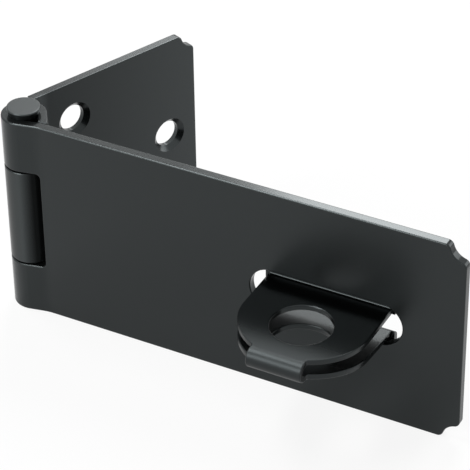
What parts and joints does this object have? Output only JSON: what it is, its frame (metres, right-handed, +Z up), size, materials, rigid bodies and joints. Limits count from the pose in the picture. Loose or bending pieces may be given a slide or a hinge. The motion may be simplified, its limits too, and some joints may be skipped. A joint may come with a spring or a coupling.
{
  "type": "hasp and staple",
  "caption": "Hinged hasp: a slotted leaf closes over a folded staple whose hole takes a padlock; a short countersunk leaf carries the hinge and the long leaf hides its screws.",
  "frame": {"origin": "below the middle of the whole object, on the plane it stands on", "axes": "+X along the long leaf from the hinge to its free end, +Y from the staple's front to the door side, +Z up along the hinge pin"},
  "size_m": [0.1009, 0.0686, 0.0465],
  "materials": {
    "black_coat": "satin black coat on steel",
    "black_coat_fixed": "satin black coat on steel",
    "black_coat_pin": "satin black coat on steel",
    "black_coat_staple": "satin black coat on steel"
  },
  "bodies": {
    "fixed_leaf": {"fixed_leaf": "black_coat_fixed"},
    "hasp": {"hasp_leaf": "black_coat", "hinge_pin": "black_coat_pin", "staple": "black_coat_staple"}
  },
  "joints": [
    {"name": "leaf_hinge", "type": "hinge", "parent": "fixed_leaf", "child": "hasp", "pos_m": [-0.04585, -0.00867, 0.0225], "axis": [0, 0, 1], "range_deg": [-112.8, 67.2]}
  ]
}
